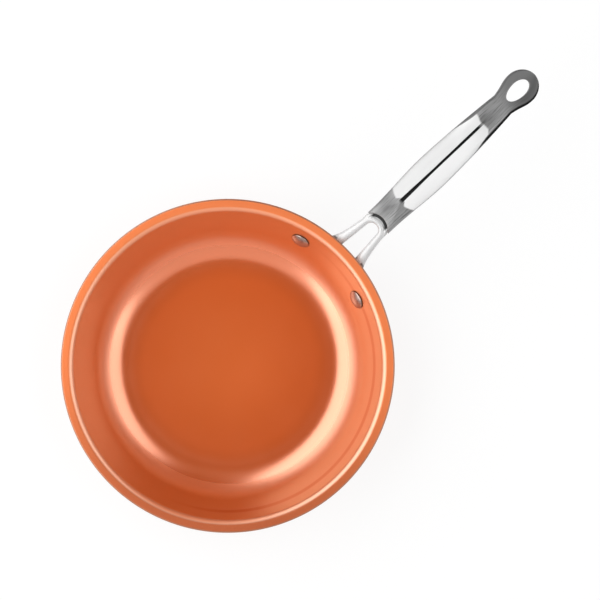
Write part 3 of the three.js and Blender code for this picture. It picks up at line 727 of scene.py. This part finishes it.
rivet_profile = [
    *[Vector((point.x, -point.y)) for point in reversed(domed(TAIL_RADIUS, TAIL_HEIGHT, tail_level))],
    Vector((SHANK_RADIUS, -tail_level)),
    Vector((SHANK_RADIUS, head_level)),
    *domed(HEAD_RADIUS, HEAD_HEIGHT, head_level),
]
for side, hand in ((1, "left"), (-1, "right")):
    rivet = turned(f"domed_rivet_{hand}", rivet_profile, RIVET_STEPS)
    put(rivet, rivet_place(side))
    rivet.data.materials.append(rivet_steel)
    smooth(rivet, 40)
    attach(rivet, "root")
    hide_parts(f"rivet_{hand}")

# Grip
# Two shells pressed from stainless steel sheet and welded along their edges, hollow over the palm and
# closed to a flat hanging loop. The two facets on top are polished and the rest is satin.
GRIP_SHEET = 1.2 * MM
MOUTH_RADIUS = 12.6 * MM
MOUTH_LENGTH = 13.5 * MM
MOUTH_HALF_WIDTH = 10.55 * MM
MOUTH_CROWN = 5.8 * MM
MOUTH_BELLY = 5.2 * MM
MOUTH_ROUND = 0.5 * MM
PALM_LENGTH = 48 * MM
PALM_HALF_WIDTH = 12.7 * MM
PALM_CROWN = 7.6 * MM
PALM_BELLY = 7.2 * MM
RIDGE_DROP = 3.6 * MM
RIDGE_LEAD = 20 * MM
RIDGE_RUNOUT = 20 * MM
RIDGE_ROUND = 0.06
FLAT_SHARE = 0.7
NECK_LENGTH = 70 * MM
NECK_HALF_WIDTH = 8.7 * MM
NECK_TAPER = 1.6
FLATTENING_LENGTH = 41 * MM
CLOSING_LENGTH = 30 * MM
LOOP_OFFSET = 16 * MM
LOOP_HALF_WIDTH = 12.3 * MM
LOOP_NECK_LENGTH = 17.4 * MM
LOOP_TIP_LENGTH = 13.44 * MM
LOOP_HALF_THICKNESS = 1.6 * MM
LOOP_BLEND = 4
HOLE_TIP = 6.9 * MM
HOLE_HALF_WIDTH = 5.4 * MM
HOLE_BLUNT_LENGTH = 8.4 * MM
HOLE_LONG_LENGTH = 11 * MM
HOLE_ROUND = 0.8 * MM
GROOVE_LEAD = 18 * MM
GROOVE_RUNOUT = 19 * MM
GROOVE_DEPTH = 0.6 * MM
GROOVE_HALF_WIDTH = 1.45 * MM
GROOVE_NARROWING = 0.9 * MM
GROOVE_SHALLOWING = 0.5
UPPER_FULLNESS = 5
LOWER_FULLNESS = 2.6
LAYOUT_LENGTH = 200 * MM

mouth_place = BEND_PLACE + MOUTH_RADIUS
palm_place = mouth_place + PALM_LENGTH
neck_place = palm_place + NECK_LENGTH
loop_centre = neck_place + LOOP_OFFSET
loop_start = loop_centre - LOOP_NECK_LENGTH
hole_middle = loop_centre + HOLE_TIP - HOLE_BLUNT_LENGTH
groove_start = mouth_place + GROOVE_LEAD
groove_end = neck_place - GROOVE_RUNOUT


def ease(value, start, end):
    share = min(max((value - start) / (end - start), 0), 1)
    return share * share * (3 - 2 * share)


def loop_length(direction):
    return LOOP_NECK_LENGTH if direction < 0 else LOOP_TIP_LENGTH


def half_width_at(place):
    widening = PALM_HALF_WIDTH - MOUTH_HALF_WIDTH
    swelling = MOUTH_HALF_WIDTH + widening * ease(place, mouth_place, palm_place)
    taper = min(max((place - palm_place) / (neck_place - palm_place), 0), 1) ** NECK_TAPER
    grip = (swelling + (NECK_HALF_WIDTH - swelling) * taper) * (1 - ease(place, neck_place, loop_centre))
    reach = min(max((place - loop_centre) / loop_length(place - loop_centre), -1), 1)
    loop = LOOP_HALF_WIDTH * math.sqrt(1 - reach ** 2)
    return (grip ** LOOP_BLEND + loop ** LOOP_BLEND) ** (1 / LOOP_BLEND)


def half_height_at(place, at_mouth, at_palm):
    swelling = at_mouth + (at_palm - at_mouth) * ease(place, mouth_place, palm_place)
    flattened = ease(place, loop_start - FLATTENING_LENGTH, loop_start)
    return swelling + (LOOP_HALF_THICKNESS - swelling) * flattened


def facet_drop(place, share, crown):
    opened = ease(place, mouth_place, mouth_place + RIDGE_LEAD)
    opened *= 1 - ease(place, neck_place - RIDGE_RUNOUT, neck_place)
    standing = (crown - LOOP_HALF_THICKNESS) / (PALM_CROWN - LOOP_HALF_THICKNESS)
    flat = FLAT_SHARE * (1 - opened)
    sloped = max(0, (share - flat) / (1 - flat))
    return RIDGE_DROP * opened * standing * (math.hypot(sloped, RIDGE_ROUND) - RIDGE_ROUND)


def groove(place, y):
    along = (place - groove_start) / (groove_end - groove_start)
    if not 0 < along < 1:
        return 0
    half = GROOVE_HALF_WIDTH - GROOVE_NARROWING * along
    ends = ease(along, 0, 0.04) * (1 - ease(along, 0.8, 1))
    depth = GROOVE_DEPTH * (1 - GROOVE_SHALLOWING * along) * ends
    return depth * max(0, 1 - (abs(y) / half) ** 2)


def rolled(distance, radius):
    inward = radius - min(max(distance, 0), radius)
    return radius - math.sqrt(radius ** 2 - inward ** 2)


def hole_distance(place, y):
    ahead = place - hole_middle
    length = HOLE_BLUNT_LENGTH if ahead > 0 else HOLE_LONG_LENGTH
    size = math.hypot(ahead / length, y / HOLE_HALF_WIDTH)
    return math.hypot(ahead, y) * (1 - 1 / size) if size > 0 else -HOLE_HALF_WIDTH


def outer_height(place, share, upper):
    y = share * half_width_at(place)
    if upper:
        crown = half_height_at(place, MOUTH_CROWN, PALM_CROWN)
        height = crown - facet_drop(place, abs(share), crown)
        height = height * (1 - abs(share) ** UPPER_FULLNESS) ** (1 / UPPER_FULLNESS) - groove(place, y)
    else:
        belly = half_height_at(place, MOUTH_BELLY, PALM_BELLY)
        height = belly * (1 - abs(share) ** LOWER_FULLNESS) ** (1 / LOWER_FULLNESS)
    height -= rolled(place - mouth_edge(share), MOUTH_ROUND)
    return max(0, height - rolled(hole_distance(place, y), HOLE_ROUND))


def inner_point(place, share, upper):
    closing = ease(place, neck_place - CLOSING_LENGTH, neck_place)
    half_width = half_width_at(place)
    inner_half_width = max(half_width - GRIP_SHEET, half_width / 2)
    y = share * inner_half_width
    height = max(0, outer_height(place, share, upper) - GRIP_SHEET) * (1 - closing)
    return Vector((place, y, height))


def mouth_edge(share):
    return BEND_PLACE + MOUTH_LENGTH * math.sqrt(1 - (share * MOUTH_HALF_WIDTH / MOUTH_RADIUS) ** 2)


half_shares = [0, 0.012, 0.025, 0.04, 0.055, 0.07, 0.085, 0.1]
half_shares += [0.115, 0.135, 0.16, 0.19, 0.22, 0.25, 0.28]
half_shares += [0.30 + 0.02 * step for step in range(16)]
half_shares += [0.64, 0.68, 0.72, 0.76, 0.80, 0.84, 0.875]
half_shares += [0.905, 0.93, 0.95, 0.967, 0.98, 0.99, 0.996, 1]
shares = [-share for share in reversed(half_shares[1:])] + half_shares
GRIP_ROWS = 110
LOOP_ROWS = 72

row_shares = [0, 0.0004, 0.0012, 0.0024, 0.004]
row_shares += [0.004 + 0.996 * step / GRIP_ROWS for step in range(1, GRIP_ROWS)]
loop_steps = [-math.cos(math.pi * step / LOOP_ROWS) for step in range(LOOP_ROWS)]
loop_places = [loop_centre + loop_length(step) * step for step in loop_steps]


def grip_row(place_at, upper, hollow):
    seam = FIT_GAP / 2
    way = 1 if upper else -1
    outer = []
    inner = []
    for share in shares:
        place = place_at(share)
        height = outer_height(place, share, upper)
        outer.append(Vector((place, share * half_width_at(place), way * (seam + height))))
        under = inner_point(place, share, upper)
        inner.append(Vector((place, under.y, way * (seam + under.z))) if hollow else outer[-1].copy())
    return [*outer, *reversed(inner), outer[0].copy()]


def place_of_row(number):
    if number < len(row_shares):
        along = row_shares[number]
        return lambda share: mouth_edge(share) + (loop_places[0] - mouth_edge(share)) * along
    return lambda share: loop_places[number - len(row_shares)]


def grip_shell(name, upper):
    count = len(row_shares) + LOOP_ROWS
    rows = [grip_row(place_of_row(0), upper, False)]
    rows += [grip_row(place_of_row(number), upper, True) for number in range(count)]
    rows.append(grip_row(place_of_row(count - 1), upper, False))
    shell = skin(name, rows)
    ring = len(rows[0])
    half = len(shares)
    layout = shell.data.uv_layers.active.data
    for loop in shell.data.loops:
        row, column = divmod(loop.vertex_index, ring)
        number = min(max(row - 1, 0), count - 1)
        inside = half <= column < 2 * half
        share = shares[2 * half - 1 - column] if inside else shares[column % (2 * half)]
        across = 0.5 + 0.5 * share
        along = place_of_row(number)(share) / LAYOUT_LENGTH
        layout[loop.index].uv = (along, across + (2 if inside else 0))
    weld(shell)
    cutter = start_alone(bpy.ops.mesh.primitive_cylinder_add, vertices=96, radius=1, depth=40 * MM)
    for vertex in cutter.data.vertices:
        length = HOLE_BLUNT_LENGTH if vertex.co.x > 0 else HOLE_LONG_LENGTH
        vertex.co = (hole_middle + vertex.co.x * length, vertex.co.y * HOLE_HALF_WIDTH, vertex.co.z)
    combine(shell, cutter, "DIFFERENCE")
    bend_to_handle(shell)
    return shell


# Grip steel: polished facets between a satin mouth and a satin neck and loop, with lengthwise lines, and
# painted light and shade.
# Places along the handle are in millimetres from the rim, and places across it run from -1 to 1.
FACET_FRONT = 54.6
FACET_FRONT_BOW = 3.3
FACET_FRONT_NOTCH = 3.5
FACETS_NARROW = 112.0
NECK_FRONT = 136.0
BLACK_SHADE = grey(0.012)
SHADE = grey(0.12)
grip_steel, tree, shader = new_material("grip_steel")
layout = add_node(tree, "ShaderNodeSeparateXYZ", Vector=add_node(tree, "ShaderNodeUVMap").outputs[0])
along = maths(tree, "MULTIPLY", layout.outputs[0], LAYOUT_LENGTH / MM)
across = maths(tree, "SUBTRACT", maths(tree, "MULTIPLY", layout.outputs[1], 2.0), 1.0)
from_middle = maths(tree, "ABSOLUTE", across)
left = stepped(tree, across, -0.05, 0.05)


def product(tree, *values):
    result = values[0]
    for value in values[1:]:
        result = maths(tree, "MULTIPLY", result, value)
    return result


def past(tree, value, limit, start, end, low=0.0, high=1.0):
    return stepped(tree, maths(tree, "SUBTRACT", value, limit), start, end, low, high)


def long_lines(tree, along, across, scale, detail):
    lines = add_node(tree, "ShaderNodeCombineXYZ", i0=along, i1=across)
    return noise(tree, lines.outputs[0], scale, detail)


bow = product(tree, maths(tree, "POWER", from_middle, 2.0), FACET_FRONT_BOW)
facet_front = maths(tree, "ADD", bow, FACET_FRONT)
facet_front = maths(tree, "ADD", facet_front, stepped(tree, from_middle, 0.1, 0.4, FACET_FRONT_NOTCH, 0.0))
right_end = stepped(tree, from_middle, 0.5, 0.78, 135.3, 133.0)
left_end = stepped(tree, from_middle, 0.1, 0.7, 134.8, 136.6)
facet_end = stepped(tree, left, 0.0, 1.0, right_end, left_end)
facet_edge = stepped(tree, along, FACETS_NARROW, NECK_FRONT, 0.985, 0.76)
past_front = past(tree, along, facet_front, -0.7, 0.9)
before_neck = past(tree, along, facet_end, -1.0, 0.8, 1.0, 0.0)
on_top = past(tree, from_middle, facet_edge, -0.02, 0.03, 1.0, 0.0)
facets = product(tree, past_front, before_neck, on_top)
streaks = long_lines(tree, product(tree, along, 0.035), product(tree, across, 7.0), 1.6, 4.0)
fine_lines = long_lines(tree, product(tree, along, 0.12), product(tree, across, 60.0), 2.0, 3.0)
scratch_lines = long_lines(tree, product(tree, along, 0.06), product(tree, across, 9.0), 1.4, 2.0)
scratches = stepped(tree, scratch_lines, 0.50, 0.66, 0.0, 0.6)
satin = blend(tree, streaks, grey(0.23), grey(0.40))
# Painted shade: the mouth is darker on one side
shaded_mouth_side = product(tree, stepped(tree, across, -0.5, 0.4), stepped(tree, along, 50.0, 64.0, 1.0, 0.0))
satin = blend(tree, shaded_mouth_side, satin, blend(tree, streaks, grey(0.13), grey(0.24)))
satin = blend(tree, scratches, satin, grey(0.11))
# Painted light: lighter at the front of the mouth
satin = blend(tree, stepped(tree, along, 36.0, 47.0, 0.45, 0.0), satin, grey(0.42))
off_shade = maths(tree, "ABSOLUTE", maths(tree, "ADD", across, 0.12))
shadow = product(tree, stepped(tree, off_shade, 0.1, 0.75, 0.65, 0.0), stepped(tree, along, 131.0, 137.0),
                 stepped(tree, along, 138.0, 154.0, 1.0, 0.0))
satin = blend(tree, shadow, satin, SHADE)
# The loop is darker, with painted light making it lighter towards one side
loop_grey_with_painted_light = blend(tree, streaks, grey(0.08), grey(0.15))
loop_grey_with_painted_light = blend(tree, stepped(tree, across, -0.6, 0.8), loop_grey_with_painted_light, grey(0.20))
satin = blend(tree, stepped(tree, along, 148.0, 168.0), satin, loop_grey_with_painted_light)
# Painted shade: a dark line along both sides of the neck, black on one side
border = stepped(tree, along, 160.0, 172.0, 0.80, 0.86)
near_edge = past(tree, from_middle, border, -0.03, 0.07)
side_shade = product(tree, near_edge, stepped(tree, along, FACETS_NARROW, 132.0))
black_side_shade = product(tree, side_shade, maths(tree, "SUBTRACT", 1.0, left))
satin = blend(tree, side_shade, satin, SHADE)
satin = blend(tree, black_side_shade, satin, BLACK_SHADE)
toward_neck = stepped(tree, along, 108.0, NECK_FRONT)
# Painted light and shade: the two facets get different greys to even out their lighting, changing towards
# the neck
left_polish = blend(tree, toward_neck, blend(tree, fine_lines, grey(0.53), grey(0.59)), grey(0.80))
right_polish = blend(tree, toward_neck, blend(tree, fine_lines, grey(0.84), grey(0.90)), grey(0.66))
polished = blend(tree, left, right_polish, left_polish)
polished = blend(tree, stepped(tree, from_middle, 0.92, 0.985), polished, grey(0.36))
steel = blend(tree, facets, satin, polished)
# Painted shade: the groove along the ridge is painted black
groove_share = maths(tree, "ADD", stepped(tree, along, 50.0, 91.0, 0.14, 0.078),
                     stepped(tree, along, 91.0, 135.0, 0.0, 0.02))
across_groove = maths(tree, "DIVIDE", from_middle, groove_share)
groove_shade = product(tree, stepped(tree, across_groove, 0.8, 1.1, 1.0, 0.0),
                    stepped(tree, along, 54.5, 57.5), stepped(tree, along, 130.0, 141.0, 1.0, 0.0))
gloss = stepped(tree, facets, 0.0, 1.0, 0.46, 0.40)
finish(tree, shader, blend(tree, groove_shade, steel, BLACK_SHADE), handling_marks(tree, 70.0, gloss, 0.07),
       bump(tree, fine_lines, 0.08, 0.03 * MM))
painted_black = maths(tree, "MAXIMUM", groove_shade, black_side_shade)
metal = maths(tree, "MAXIMUM", stepped(tree, facets, 0.0, 1.0, 0.7, 0.2), painted_black)
tree.links.new(metal, shader.inputs["Metallic"])

for name, upper in (("grip_upper", True), ("grip_lower", False)):
    shell = grip_shell(name, upper)
    shell.data.materials.append(grip_steel)
    smooth(shell, 35)
    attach(shell, "root")
    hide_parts(f"{name}_shell")

# Floor and light
# A plain pale floor that shows white to the camera and keeps a soft shadow, two large softboxes,
# a weak fill, and a dark gap between the softboxes.
FLOOR_SIZE = 8
FLOOR_GLOW = 0.86
floor = start_alone(bpy.ops.mesh.primitive_plane_add, size=FLOOR_SIZE)
floor.name = "studio_floor"
paper, tree, shader = new_material("white_paper")
shader.inputs["Base Color"].default_value = grey(0.95)
shader.inputs["Roughness"].default_value = 0.9
glow = add_node(tree, "ShaderNodeEmission", Color=grey(1), Strength=1.0)
path = add_node(tree, "ShaderNodeLightPath").outputs
mirrored = maths(tree, "MAXIMUM", path["Is Glossy Ray"], path["Is Transmission Ray"])
seen = maths(tree, "MAXIMUM", path["Is Camera Ray"], mirrored)
mixer = add_node(tree, "ShaderNodeMixShader", Fac=maths(tree, "MULTIPLY", seen, FLOOR_GLOW))
tree.links.new(shader.outputs[0], mixer.inputs[1])
tree.links.new(glow.outputs[0], mixer.inputs[2])
tree.links.new(mixer.outputs[0], tree.nodes["Material Output"].inputs["Surface"])
floor.data.materials.append(paper)

HANDLE_TURN = math.radians(43.52)
LAMP_DISTANCE = 1.3


def softbox(name, turn, off_zenith, width, height, radiance):
    around = math.radians(turn) - HANDLE_TURN
    lean = math.radians(off_zenith)
    sideways = Vector((math.cos(around), math.sin(around), 0))
    toward = math.sin(lean) * sideways + Vector((0, 0, math.cos(lean)))
    bpy.ops.object.select_all(action="DESELECT")
    bpy.ops.object.light_add(type="AREA", location=LAMP_DISTANCE * toward,
                             rotation=toward.to_track_quat("Z", "Y").to_euler())
    lamp = bpy.context.object
    lamp.name = name
    lamp.data.shape = "ELLIPSE"
    lamp.data.size = width
    lamp.data.size_y = height
    lamp.data.energy = radiance * math.pi * QUARTER / 2 * width * height
    lamp.visible_camera = False


softbox("softbox_left", turn=166, off_zenith=46.5, width=2.9, height=1.42, radiance=2.7)
softbox("softbox_right", turn=8, off_zenith=40, width=1.5, height=1.12, radiance=1.95)
softbox("fill_below", turn=275, off_zenith=45, width=3.6, height=1.7, radiance=0.56)

SKY_LEVEL = 0.03
world = bpy.data.worlds.new("studio")
bpy.context.scene.world = world
world.use_nodes = True
tree = world.node_tree
path = add_node(tree, "ShaderNodeLightPath").outputs
sky = add_node(tree, "ShaderNodeTexCoord").outputs["Generated"]
height = add_node(tree, "ShaderNodeSeparateXYZ", Vector=sky).outputs[2]
mirrored = maths(tree, "MAXIMUM", path["Is Glossy Ray"], path["Is Transmission Ray"])
mirrored = maths(tree, "MULTIPLY", mirrored, stepped(tree, height, 0.06, 0.14, 1.0, 0.0))
seen = maths(tree, "MAXIMUM", path["Is Camera Ray"], mirrored)
tree.links.new(blend(tree, seen, grey(SKY_LEVEL), grey(1)), tree.nodes["Background"].inputs["Color"])

# Camera
# Straight above the pan with a long lens, turned so that the handle points up and to the right.
RIM_PLANE = 42 * MM
CAMERA_HEIGHT = 1450 * MM
PIXEL = 0.719 * MM
VIEW_RIGHT = 72.2 * PIXEL
VIEW_UP = 65.8 * PIXEL
SENSOR_WIDTH = 36
LENS_LENGTH = 121.02
right = Vector((math.cos(HANDLE_TURN), -math.sin(HANDLE_TURN), 0))
up = Vector((math.sin(HANDLE_TURN), math.cos(HANDLE_TURN), 0))
eye = Vector((0, 0, RIM_PLANE + CAMERA_HEIGHT)) + VIEW_RIGHT * right + VIEW_UP * up
bpy.ops.object.camera_add(location=eye)
camera = bpy.context.object
camera.rotation_euler = Matrix((right, up, Vector((0, 0, 1)))).transposed().to_euler()
camera.data.sensor_width = SENSOR_WIDTH
camera.data.lens = LENS_LENGTH
bpy.context.scene.camera = camera
bpy.context.scene.view_settings.view_transform = "Standard"
